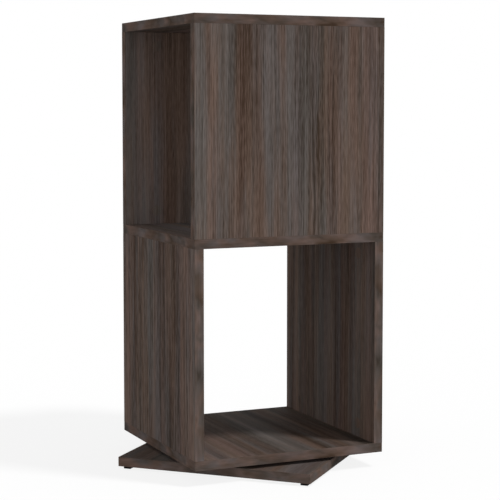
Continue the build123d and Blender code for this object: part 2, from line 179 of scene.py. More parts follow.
class Bench:
    """A node tree that nodes are placed in and joined."""

    def __init__(self, tree: Tree) -> None:
        """Start with an empty tree."""
        self.tree = tree
        tree.nodes.clear()

    def place(self, kind: str, inputs: Optional[Inputs] = None, **settings: Any) -> Node:
        """Place a node and feed its inputs.

        Args:
            kind: Blender's name for the kind of node.
            inputs: For each input, by its name or number, a value or the socket that feeds it.
            **settings: The node's own settings.

        Returns:
            The node.
        """
        node = self.tree.nodes.new(kind)
        for name, value in settings.items():
            setattr(node, name, value)
        for key, value in (inputs or {}).items():
            self.feed(node.inputs[key], value)
        return node

    def feed(self, socket: Socket, value: Feed) -> None:
        """Join a socket to another one, or set its value.

        Args:
            socket: The socket to feed.
            value: Its value, or the socket that it is joined to.
        """
        if isinstance(value, Socket):
            self.tree.links.new(value, socket)
        else:
            socket.default_value = value

    def output(self, kind: str, inputs: Optional[Inputs] = None, **settings: Any) -> Socket:
        """Place a node and give its first output."""
        return self.place(kind, inputs, **settings).outputs[0]

    def math(self, operation: str, *values: Feed) -> Socket:
        """Work out a number by one of the Math node's operations."""
        return self.output("ShaderNodeMath", dict(enumerate(values)), operation=operation)

    def add(self, first: Feed, second: Feed) -> Socket:
        """Add two numbers."""
        return self.math("ADD", first, second)

    def minus(self, first: Feed, second: Feed) -> Socket:
        """Take the second number from the first."""
        return self.math("SUBTRACT", first, second)

    def times(self, first: Feed, second: Feed) -> Socket:
        """Multiply two numbers."""
        return self.math("MULTIPLY", first, second)

    def vector(self, operation: str, *values: Feed) -> Socket:
        """Work out a vector by one of the Vector Math node's operations."""
        return self.output("ShaderNodeVectorMath", dict(enumerate(values)), operation=operation)

    def combine(self, x: Feed = 0.0, y: Feed = 0.0, z: Feed = 0.0) -> Socket:
        """Put three numbers together as a vector."""
        return self.output("ShaderNodeCombineXYZ", {0: x, 1: y, 2: z})

    def separate(self, vector: Feed) -> bpy.types.bpy_prop_collection:
        """Take a vector apart into the sockets of its three numbers."""
        return self.place("ShaderNodeSeparateXYZ", {0: vector}).outputs

    def blend(self, share: Feed, first: Feed, second: Feed, way: str = "MIX") -> Socket:
        """Blend a share of the second colour over the first, by one of the Mix node's blend types."""
        inputs = {0: share, 6: first, 7: second}
        return self.place("ShaderNodeMix", inputs, data_type="RGBA", blend_type=way).outputs[2]

    def span(self, value: Feed, start: Feed, end: Feed, low: Feed = 0.0, high: Feed = 1.0) -> Socket:
        """Stretch the range from start to end smoothly over that from low to high."""
        inputs = {0: value, 1: start, 2: end, 3: low, 4: high}
        return self.output("ShaderNodeMapRange", inputs, interpolation_type="SMOOTHSTEP")

    def noise(self, vector: Feed, layer: Layer) -> Socket:
        """Place a layer of noise, 0 to 1, by coordinates in millimetres."""
        shrunk = self.vector("MULTIPLY", vector, tuple(1 / length for length in layer.size))
        return self.output("ShaderNodeTexNoise", {"Vector": shrunk, **layer.dials()})

    def mask(self, vector: Feed, layer: Layer) -> Socket:
        """Place a layer of noise, stretched from its low level to its high one."""
        return self.span(self.noise(vector, layer), layer.low, layer.high)

    def swing(self, noise: Socket, reach: Feed) -> Socket:
        """Turn a pattern from 0 to 1 into one about 0, times a reach."""
        return self.times(self.minus(noise, 0.5), reach)


class Group(Bench):
    """A node group with named inputs and outputs."""

    def __init__(self, name: str, kind: str, inputs: dict[str, Any], outputs: dict[str, Kind]) -> None:
        """Start with nothing between the inputs and the outputs.

        Args:
            name: The group's name.
            kind: ShaderNodeTree or GeometryNodeTree.
            inputs: Kind of each input, or the number that a value has by default.
            outputs: Kind of each output.
        """
        tree = bpy.data.node_groups.new(name, kind)
        for label, given in inputs.items():
            taken = given if isinstance(given, Kind) else Kind.VALUE
            socket = tree.interface.new_socket(name=label, in_out="INPUT", socket_type=taken.value)
            if taken is not given:
                socket.default_value = given
        for label, given in outputs.items():
            tree.interface.new_socket(name=label, in_out="OUTPUT", socket_type=given.value)
        super().__init__(tree)
        entry = self.place("NodeGroupInput")
        self.taken = {label: entry.outputs[label] for label in inputs}

    def close(self, results: dict[str, Socket]) -> Tree:
        """Put the results out by their labels and give the finished tree."""
        self.place("NodeGroupOutput", results)
        return self.tree


class Effects:
    """Shader node groups that the finishes share, each built once."""

    middle_tone = 0.5
    pore_dark = 0.09
    hair_height = 0.4
    swirl_lines = 0.12
    brown_offset = (57.0, 219.0)
    olive_offset = (83.0, 655.0)
    edging_tone = 0.47
    edging_bend = (38, 38, 9)
    edging_brown_offset = (317, 91, 43)
    arris_rim = (0.15, 0.45)

    def __init__(self) -> None:
        """Build the groups."""
        self.oak_figure = self.build_oak_figure()
        self.edging_figure = self.build_edging_figure()
        self.smoked_tone = self.build_smoked_tone()
        self.speckle = self.build_speckle()

    def build_oak_figure(self) -> Tree:
        """Build the figure of the oak print: bands, streaks, pores and painted light along the third axis.

        Returns:
            The node group.
        """
        inputs = {"Vector": Kind.VECTOR, "Wander": 5.0, "Swirl Place": 0.0, "Swirl Width": 24.0}
        inputs.update({"Fade Middle": 0.0, **dict.fromkeys(OAK_DIALS, 0.0)})
        inputs.update({"Contrast": 1.0, "Fineness": 1.0})
        outputs = dict.fromkeys((*TONES, "Pores", "Height"), Kind.VALUE)
        group = Group("oak_figure", "ShaderNodeTree", inputs, outputs)
        taken = group.taken
        across, depth, along = group.separate(taken["Vector"])

        # The grain wanders a little everywhere, and swirls at one place
        wander = group.swing(group.noise(taken["Vector"], WANDER), taken["Wander"])
        off_swirl = group.math("ABSOLUTE", group.minus(across, taken["Swirl Place"]))
        at_swirl = group.span(off_swirl, 0.0, taken["Swirl Width"], 1.0, 0.0)
        swirl = group.swing(group.noise(taken["Vector"], SWIRL), taken["Swirl"])
        shift = group.add(wander, group.times(swirl, at_swirl))
        grain = group.combine(group.add(across, shift), depth, along)

        # Fine lines, stronger at the swirl, then the bands and streaks under them
        swirled = group.times(at_swirl, taken["Swirl"])
        lines = group.math("MULTIPLY_ADD", swirled, self.swirl_lines, LINES.share)
        relief = group.swing(group.noise(grain, LINES), lines)
        hairs = group.noise(grain, HAIRS)
        relief = group.add(relief, group.swing(hairs, HAIRS.share))
        relief = group.add(relief, group.swing(group.noise(grain, DASHES), DASHES.share))
        relief = group.times(relief, taken["Fineness"])
        for layer in (BANDS, STREAKS):
            relief = group.add(relief, group.swing(group.noise(grain, layer), layer.share))

        # Painted light and shade: the tone changes steadily along the grain from the sheet's middle, for how
        # the light falls on the piece
        down = group.times(group.minus(taken["Fade Middle"], along), 1 / PAINTED_LIGHT_REACH)
        lift = group.math("MULTIPLY_ADD", down, taken["Fade"], taken["Lift"])
        tone = group.math("MULTIPLY_ADD", relief, taken["Contrast"], group.add(self.middle_tone, lift))
        tone = group.minus(tone, group.times(at_swirl, taken["Swirl Dark"]))
        brown_at = group.vector("ADD", grain, group.combine(taken["Tint Shift"], *self.brown_offset))
        olive_at = group.vector("ADD", grain, group.combine(taken["Moss Shift"], *self.olive_offset))
        pores = group.mask(grain, PORES)
        results = {
            "Tone": group.minus(tone, group.times(pores, self.pore_dark)),
            "Tint": group.mask(brown_at, BROWNS),
            "Moss": group.mask(olive_at, OLIVES),
            "Pores": pores,
            "Height": group.minus(group.times(hairs, self.hair_height), pores),
        }
        return group.close(results)

    def build_edging_figure(self) -> Tree:
        """Build the figure of the printed edging: soft patches and faint lines along the strip.

        Returns:
            The node group.
        """
        inputs = {"Vector": Kind.VECTOR, "Patches": 1.0, "Lines": 1.0, "Lift": 0.0, "Half Width": 8.0}
        outputs = dict.fromkeys((*TONES, "Arris", "Height"), Kind.VALUE)
        group = Group("edging_figure", "ShaderNodeTree", inputs, outputs)
        taken = group.taken
        bend = group.noise(taken["Vector"], EDGING_BEND).node.outputs["Color"]
        bend = group.vector("MULTIPLY", group.vector("SUBTRACT", bend, (0.5,) * 3), self.edging_bend)
        bent = group.vector("ADD", taken["Vector"], bend)
        patches = group.noise(bent, EDGING_PATCHES)
        lines = group.noise(taken["Vector"], EDGING_LINES)
        tone = group.add(group.swing(patches, taken["Patches"]), group.swing(lines, taken["Lines"]))
        across = group.math("ABSOLUTE", group.separate(taken["Vector"])[2])
        from_rim = group.minus(taken["Half Width"], across)
        results = {
            "Tone": group.add(tone, group.add(self.edging_tone, taken["Lift"])),
            "Tint": group.mask(group.vector("ADD", bent, self.edging_brown_offset), EDGING_BROWNS),
            "Moss": group.span(patches, EDGING_PATCHES.low, EDGING_PATCHES.high, 1.0, 0.0),
            "Arris": group.span(from_rim, *self.arris_rim, 1.0, 0.0),
            "Height": lines,
        }
        return group.close(results)

    @staticmethod
    def build_smoked_tone() -> Tree:
        """Build the colours of the smoked print from its tone and its two tints.

        Returns:
            The node group.
        """
        inputs = {**dict.fromkeys(TONES, 0.5), **dict.fromkeys(SHADES, Kind.COLOUR)}
        group = Group("smoked_tone", "ShaderNodeTree", inputs, {"Color": Kind.COLOUR})
        taken = group.taken
        plain = group.blend(taken["Tone"], taken["Dark"], taken["Light"])
        casts = {"Tint": ("Grey Cast", "Brown Cast"), "Moss": ("Mauve Cast", "Olive Cast")}
        for tint, (first, second) in casts.items():
            cast = group.blend(taken[tint], taken[first], taken[second])
            plain = group.blend(1.0, plain, cast, "MULTIPLY")
        return group.close({"Color": plain})

    @staticmethod
    def build_speckle() -> Tree:
        """Build the fine grain of a moulded, cast or plated surface.

        Returns:
            The node group.
        """
        layers = {"Grain": GRAIN, "Clouds": CLOUDS}
        inputs = {"Vector": Kind.VECTOR, "Grain": 1.0, "Clouds": 0.1}
        group = Group("speckle", "ShaderNodeTree", inputs, dict.fromkeys(layers, Kind.VALUE))
        results = {}
        for label, layer in layers.items():
            inputs = {0: group.taken["Vector"], "Scale": group.taken[label]}
            scaled = group.output("ShaderNodeVectorMath", inputs, operation="SCALE")
            results[label] = group.noise(scaled, layer)
        return group.close(results)


class PrintLay(Enum):
    """Directions across and along the grain on a laminated piece."""

    PANEL_FACING_Y = ((1, 0, 0), (0, 0, 1))
    PANEL_FACING_X = ((0, 1, 0), (0, 0, 1))
    CASE_BOARD = ((1, 0, 0), (0, 1, 0))
    BASE_BOARD = ((-DIAGONAL, DIAGONAL, 0), (DIAGONAL, DIAGONAL, 0))


class EdgingLay(Enum):
    """Directions along and across the strips of edging on a piece."""

    ROUND_BOARD = ((1, 0, 0), (0, 0, 1))
    UP_PANEL_FACING_Y = ((0, 0, 1), (0, 1, 0))
    UP_PANEL_FACING_X = ((0, 0, 1), (1, 0, 0))


def turn_to(first: Triple, third: Triple) -> Euler:
    """Find the turn, for a Mapping node, that brings two directions onto the first and third axes."""
    x_axis, z_axis = Vector(first), Vector(third)
    return Matrix((x_axis, z_axis.cross(x_axis), z_axis)).to_euler("XYZ")


class Coat(Bench):
    """A material under construction."""

    def __init__(self, name: str, effects: Effects) -> None:
        """Start a material with a Principled shader.

        Args:
            name: The material's name.
            effects: The shared node groups.
        """
        self.material = bpy.data.materials.new(name)
        self.material.use_nodes = True
        super().__init__(self.material.node_tree)
        self.effects = effects
        self.shader = self.place("ShaderNodeBsdfPrincipled")
        self.place("ShaderNodeOutputMaterial", {"Surface": self.shader.outputs["BSDF"]})

    def millimetres(self, lay: Union[PrintLay, EdgingLay], start: Triple) -> Socket:
        """Give a piece's own coordinates in millimetres, turned to the lay of its print.

        Args:
            lay: The lay of the print.
            start: Where in the print the piece's origin falls, in millimetres.

        Returns:
            The coordinates' socket.
        """
        inputs = {"Vector": self.place("ShaderNodeTexCoord").outputs["Object"], "Location": start}
        inputs.update({"Rotation": turn_to(*lay.value), "Scale": (1 / MM,) * 3})
        return self.output("ShaderNodeMapping", inputs)

    def cover(self, colour: Socket, rough: Socket, height: Socket, bump: float, depth: float = 0.1) -> None:
        """Feed the shader.

        Args:
            colour: The surface's colour.
            rough: Its roughness.
            height: Its relief, 0 to 1.
            bump: How strongly the relief shows.
            depth: Depth of the relief, in millimetres.
        """
        normal = self.output("ShaderNodeBump", {"Strength": bump, "Distance": depth * MM, "Height": height})
        for label, socket in {"Base Color": colour, "Roughness": rough, "Normal": normal}.items():
            self.feed(self.shader.inputs[label], socket)


class Finish:
    """What every finish shares.

    Attributes:
        specular: How strongly the surface mirrors.
    """

    specular: float

    def material(self, name: str, effects: Effects) -> Material:
        """Make the material.

        Args:
            name: The material's name.
            effects: The shared node groups.

        Returns:
            The material.
        """
        coat = Coat(name, effects)
        coat.feed(coat.shader.inputs["Specular IOR Level"], self.specular)
        self.dress(coat)
        return coat.material

    def dress(self, coat: Coat) -> None:
        """Cover a coat; each finish does it in its own way."""
        raise NotImplementedError


@dataclass(frozen=True)
class SmokedPalette:
    """Colours of the smoked oak print."""

    dark: Triple = (55, 44.5, 37.5)
    light: Triple = (103, 90.5, 85)
    grey_cast: Triple = (243, 256.5, 266)
    brown_cast: Triple = (267, 253.5, 244)
    mauve_cast: Triple = (256, 253.5, 256.5)
    olive_cast: Triple = (254, 256.5, 253.5)

    def colour(self, coat: Coat, figure: Node) -> Socket:
        """Colour a figure by its tone, dark to light, and its tints, grey to brown and mauve to olive.

        Args:
            coat: The material under construction.
            figure: The figure's node.

        Returns:
            The colour's socket.
        """
        inputs = {label: figure.outputs[label] for label in TONES}
        inputs.update({label: linear(colour) for label, colour in named(self, SHADES).items()})
        return coat.output("ShaderNodeGroup", inputs, node_tree=coat.effects.smoked_tone)


@dataclass(frozen=True)
class OakPrint(Finish):
    """Smoked oak print on a laminated board or panel.

    Attributes:
        lay: How the grain lies on the piece.
        start: Where in the print the piece's origin falls, in millimetres.
        tint_shift: How far the brown tint is moved across the grain, in millimetres.
        moss_shift: How far the olive tint is moved across the grain, in millimetres.
        swirl: How far the grain swirls at one place, in millimetres.
        swirl_dark: How much darker it is there.
        swirl_place: Where that is across the piece, in millimetres from its middle.
        lift: How much lighter the whole sheet is than the others, partly as painted light on some sheets.
        contrast: How strongly its tone changes.
        fineness: How strong its fine lines are against its bands.
        fade: Painted light: how much lighter it is half a panel's height before its middle, along the grain.
        middle: Where the middle of the sheet is along the grain, in millimetres, where the painted light is
            nil.
        roughness: Roughness between the pores and in them.
        bump: How strongly the relief shows.
        palette: Its colours.
    """

    lay: PrintLay
    start: Triple
    tint_shift: float = 731.0
    moss_shift: float = -417.0
    swirl: float = 0.0
    swirl_dark: float = 0.0
    swirl_place: float = 0.0
    lift: float = 0.0
    contrast: float = 1.0
    fineness: float = 1.0
    fade: float = 0.0
    middle: float = 0.0
    roughness: tuple[float, float] = (0.7, 0.84)
    bump: float = 0.25
    specular: float = 0.02
    palette: SmokedPalette = SmokedPalette()

    def dress(self, coat: Coat) -> None:
        """Lay the print by the piece's own coordinates."""
        self.lay_print(coat, {"Vector": coat.millimetres(self.lay, self.start)})

    def lay_print(self, coat: Coat, given: Inputs) -> None:
        """Cover a coat with the print.

        Args:
            coat: The material under construction.
            given: Coordinates in the print, in millimetres, and whatever else isn't the same all over.
        """
        inputs = named(self, OAK_DIALS)
        inputs["Swirl Place"] = self.start[0] + self.swirl_place
        inputs["Fade Middle"] = self.start[2] + self.middle
        inputs.update(given)
        figure = coat.place("ShaderNodeGroup", inputs, node_tree=coat.effects.oak_figure)
        rough = coat.span(figure.outputs["Pores"], 0.0, 1.0, *self.roughness)
        coat.cover(self.palette.colour(coat, figure), rough, figure.outputs["Height"], self.bump)


@dataclass(frozen=True)
class CoverFoil(OakPrint):
    """The same print on the stick-on discs, each chosen to match its panel and laid with a slight turn."""

    def dress(self, coat: Coat) -> None:
        """Lay the print by the marks that each disc carries.

        Args:
            coat: The material under construction.
        """
        local, hand, centre, tone = (
            coat.place("ShaderNodeAttribute", attribute_name=mark).outputs["Vector"]
            for mark in ("disc_place", "hand", "print_at", "tone_and_painted_light")
        )
        # The lift carries the panel's painted light where the disc lies
        given = dict(zip(("Lift", "Contrast", "Fineness"), coat.separate(tone)))
        self.lay_print(coat, {**given, "Vector": coat.vector("MULTIPLY_ADD", local, hand, centre)})


@dataclass(frozen=True)
class EdgingPrint(Finish):
    """Printed edging, trimmed flush, with a plain arris along each rim. Its start is in millimetres."""

    lay: EdgingLay
    start: Triple
    lift: float = 0.0
    patches: float = 1.7
    lines: float = 0.4
    arris: Triple = (84, 72, 65)
    roughness: tuple[float, float] = (0.66, 0.78)
    bump: float = 0.2
    specular: float = 0.02
    palette: SmokedPalette = SmokedPalette()

    def dress(self, coat: Coat) -> None:
        """Lay the print along the strips.

        Args:
            coat: The material under construction.
        """
        inputs = {"Vector": coat.millimetres(self.lay, self.start), **named(self, EDGING_DIALS)}
        figure = coat.place("ShaderNodeGroup", inputs, node_tree=coat.effects.edging_figure)
        lines = figure.outputs["Height"]
        colour = self.palette.colour(coat, figure)
        colour = coat.blend(figure.outputs["Arris"], colour, linear(self.arris))
        rough = coat.span(lines, EDGING_LINES.low, EDGING_LINES.high, *self.roughness)
        coat.cover(colour, rough, lines, self.bump)


@dataclass(frozen=True)
class Speckled(Finish):
    """A plain-coloured finish with a fine grain: plated or cast metal, or moulded plastic.

    Attributes:
        thin: Colour where the surface is worn or thin.
        full: Colour where it is full.
        metallic: 1 for bare metal, 0 for plastic.
        roughness: Roughness at the smoothest and at the roughest.
        grain: Size of the grain, in millimetres.
        clouds: Size of the cloudy changes, in millimetres.
        relief: Depth of the grain, in millimetres.
    """

    thin: Triple
    full: Triple
    metallic: float
    roughness: tuple[float, float]
    grain: float
    clouds: float
    relief: float
    specular: float = 0.5
    start: Triple = (3.7, 1.9, 5.3)
    bump: float = 0.3

    def dress(self, coat: Coat) -> None:
        """Speckle the surface.

        Args:
            coat: The material under construction.
        """
        coat.feed(coat.shader.inputs["Metallic"], self.metallic)
        inputs = {"Vector": coat.millimetres(PrintLay.PANEL_FACING_Y, self.start)}
        inputs.update({"Grain": 1 / self.grain, "Clouds": 1 / self.clouds})
        speckle = coat.place("ShaderNodeGroup", inputs, node_tree=coat.effects.speckle)
        clouds = coat.span(speckle.outputs["Clouds"], CLOUDS.low, CLOUDS.high)
        colour = coat.blend(clouds, linear(self.thin), linear(self.full))
        grain = speckle.outputs["Grain"]
        rough = coat.span(grain, GRAIN.low, GRAIN.high, *self.roughness)
        coat.cover(colour, rough, grain, self.bump, self.relief)


@dataclass(frozen=True)
class BeechTurned(Finish):
    """Plain turned beech with its short dark flecks."""

    pale: Triple = (206, 168, 124)
    deep: Triple = (176, 132, 88)
    fleck: Triple = (128, 86, 52)
    start: Triple = (11.3, 7.9, 2.1)
    streak_levels: tuple[float, float] = (0.2, 0.8)
    roughness: tuple[float, float] = (0.6, 0.75)
    bump: float = 0.3
    specular: float = 0.3

    def dress(self, coat: Coat) -> None:
        """Streak and fleck the surface.

        Args:
            coat: The material under construction.
        """
        place = coat.millimetres(PrintLay.PANEL_FACING_Y, self.start)
        streaks = coat.noise(place, BEECH_STREAKS)
        share = coat.span(streaks, BEECH_STREAKS.low, BEECH_STREAKS.high)
        colour = coat.blend(share, linear(self.pale), linear(self.deep))
        colour = coat.blend(coat.mask(place, BEECH_FLECKS), colour, linear(self.fleck))
        rough = coat.span(streaks, *self.streak_levels, *self.roughness)
        coat.cover(colour, rough, streaks, self.bump)


def dress_node(node: str, material: Material) -> None:
    """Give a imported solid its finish.

    Args:
        node: The solid's name.
        material: Its finish.
    """
    slots = frame["nodes"][node].data.materials
    slots.clear()
    slots.append(material)
    LOG.info("dressed %s in %s", node, material.name)


@dataclass(frozen=True)
class Place:
    """Where one copy of a repeated piece stands and which way it faces, in metres."""

    at: Vector
    facing: Vector


def grow(
    name: str, places: list[Place], tree: Tree, values: dict[str, Any], marks: Optional[Marks] = None
) -> bpy.types.Object:
    """Make one plain mesh of all the copies of a repeated piece.

    Args:
        name: The piece's name.
        places: Where its copies stand.
        tree: The geometry tree that makes a copy at each point.
        values: The tree's inputs, by name.
        marks: Vectors that each copy carries for its finish, by name, in the order of the places.

    Returns:
        The piece, with no modifier left on it.
    """
    points = bpy.data.meshes.new(f"{name}_places")
    points.from_pydata([place.at for place in places], [], [])
    for label, vectors in {"facing": [place.facing for place in places], **(marks or {})}.items():
        mark = points.attributes.new(label, "FLOAT_VECTOR", "POINT")
        mark.data.foreach_set("vector", [part for vector in vectors for part in vector])
    piece = bpy.data.objects.new(name, points)
    bpy.context.scene.collection.objects.link(piece)
    modifier = piece.modifiers.new("grow", "NODES")
    modifier.node_group = tree
    for item in tree.interface.items_tree:
        if item.name in values:
            modifier[item.identifier] = values[item.name]
    graph = bpy.context.evaluated_depsgraph_get()
    grown = piece.evaluated_get(graph)
    mesh = bpy.data.meshes.new_from_object(grown, preserve_all_data_layers=True, depsgraph=graph)
    mesh.name = name
    piece.modifiers.remove(modifier)
    piece.data = mesh
    bpy.data.meshes.remove(points)
    LOG.info("grew %s: %d copies, %d faces", name, len(places), len(mesh.polygons))
    return piece


class Fastener(Group):
    """A geometry tree that copies a piece onto points and gives the copies their finish."""

    steps_a_turn = 20
    ridge_sides = 4

    def __init__(self, name: str, sizes: Iterable[str], counts: Iterable[str] = ()) -> None:
        """Start the tree.

        Args:
            name: The tree's name.
            sizes: Names of its lengths and angles.
            counts: Names of its whole numbers.
        """
        inputs = {"Points": Kind.SHAPE, **dict.fromkeys(sizes, Kind.VALUE)}
        inputs.update({**dict.fromkeys(counts, Kind.COUNT), "Finish": Kind.FINISH})
        super().__init__(name, "GeometryNodeTree", inputs, {"Piece": Kind.SHAPE})
        self.tree.is_modifier = True

    def position(self) -> bpy.types.bpy_prop_collection:
        """Give the sockets of each point's x, y and z."""
        return self.separate(self.output("GeometryNodeInputPosition"))

    def raised(self, mesh: Socket, height: Feed) -> Socket:
        """Move a mesh up by a height."""
        inputs = {"Geometry": mesh, "Translation": self.combine(z=height)}
        return self.output("GeometryNodeTransform", inputs)

    def narrowed(self, mesh: Socket, share: Socket, height: Socket) -> Socket:
        """Move a mesh's points to a share of their distance from the axis, and to a height.

        Args:
            mesh: The mesh.
            share: The share.
            height: The height.

        Returns:
            The narrowed mesh.
        """
        x, y, _ = self.position()
        moved = self.combine(self.times(x, share), self.times(y, share), height)
        return self.output("GeometryNodeSetPosition", {"Geometry": mesh, "Position": moved})

    def barrel(self, sides: Feed, radius: Feed, bottom: Feed, top: Feed, rings: int = 1) -> Socket:
        """Place an upright barrel between two heights.

        Args:
            sides: Number of sides.
            radius: Its radius.
            bottom: Height of its lower end.
            top: Height of its upper end.
            rings: Number of rings of faces along it.

        Returns:
            The barrel's mesh.
        """
        depth = self.minus(top, bottom)
        inputs = {"Vertices": sides, "Side Segments": rings, "Radius": radius, "Depth": depth}
        mesh = self.output("GeometryNodeMeshCylinder", inputs)
        return self.raised(mesh, self.times(self.add(top, bottom), 0.5))

    def thread(self, root: Feed, crest: Feed, pitch: Feed, bottom: Feed, top: Feed) -> Socket:
        """Place a thread's ridge, wound round a shank.

        Args:
            root: Radius of the shank.
            crest: Radius of the ridge.
            pitch: Rise of one turn.
            bottom: Height of its lower end.
            top: Height of its upper end.

        Returns:
            The ridge's mesh.
        """
        rise = self.minus(top, bottom)
        inputs = {"Rotations": self.math("DIVIDE", rise, pitch), "Height": rise}
        inputs.update({"Resolution": self.steps_a_turn, "Start Radius": root, "End Radius": root})
        path = self.output("GeometryNodeCurveSpiral", inputs)
        path = self.output("GeometryNodeSetCurveNormal", {"Curve": path}, mode="Z_UP")
        inputs = {"Resolution": self.ridge_sides, "Radius": self.minus(crest, root)}
        ridge = self.output("GeometryNodeCurvePrimitiveCircle", inputs)
        inputs = {"Curve": path, "Profile Curve": ridge, "Fill Caps": True}
        return self.raised(self.output("GeometryNodeCurveToMesh", inputs), bottom)

    def fuse(self, operation: str, meshes: list[Socket], body: Optional[Socket] = None) -> Socket:
        """Join meshes into one solid, or cut them out of a body.

        Args:
            operation: UNION or DIFFERENCE.
            meshes: The meshes.
            body: The body, where they are cut out of one.

        Returns:
            The solid.
        """
        node = self.place("GeometryNodeMeshBoolean", operation=operation, solver="EXACT")
        if body is not None:
            self.feed(node.inputs["Mesh 1"], body)
        for mesh in meshes:
            self.feed(node.inputs["Mesh 2"], mesh)
        return node.outputs["Mesh"]

    def copy_out(self, mesh: Socket, spin: Optional[Feed] = None) -> Tree:
        """Copy a mesh onto the points, standing along their facing, make it real and give it its finish.

        Args:
            mesh: The mesh, with its axis upright.
            spin: Turn of each copy about its own axis, in radians.

        Returns:
            The finished tree.
        """
        align = "FunctionNodeAlignRotationToVector"
        facing = self.output("GeometryNodeInputNamedAttribute", {"Name": "facing"}, data_type="FLOAT_VECTOR")
        stand = self.output(align, {"Vector": facing}, axis="Z")
        if spin is not None:
            stand = self.output(align, {"Rotation": stand, "Vector": UP}, axis="X", pivot_axis="Z")
            turn = self.output("FunctionNodeAxisAngleToRotation", {"Axis": UP, "Angle": spin})
            inputs = {"Rotation": stand, "Rotate By": turn}
            stand = self.output("FunctionNodeRotateRotation", inputs, rotation_space="LOCAL")
        inputs = {"Points": self.taken["Points"], "Instance": mesh, "Rotation": stand}
        copies = self.output("GeometryNodeInstanceOnPoints", inputs)
        real = self.output("GeometryNodeRealizeInstances", {"Geometry": copies})
        inputs = {"Geometry": real, "Material": self.taken["Finish"]}
        return self.close({"Piece": self.output("GeometryNodeSetMaterial", inputs)})


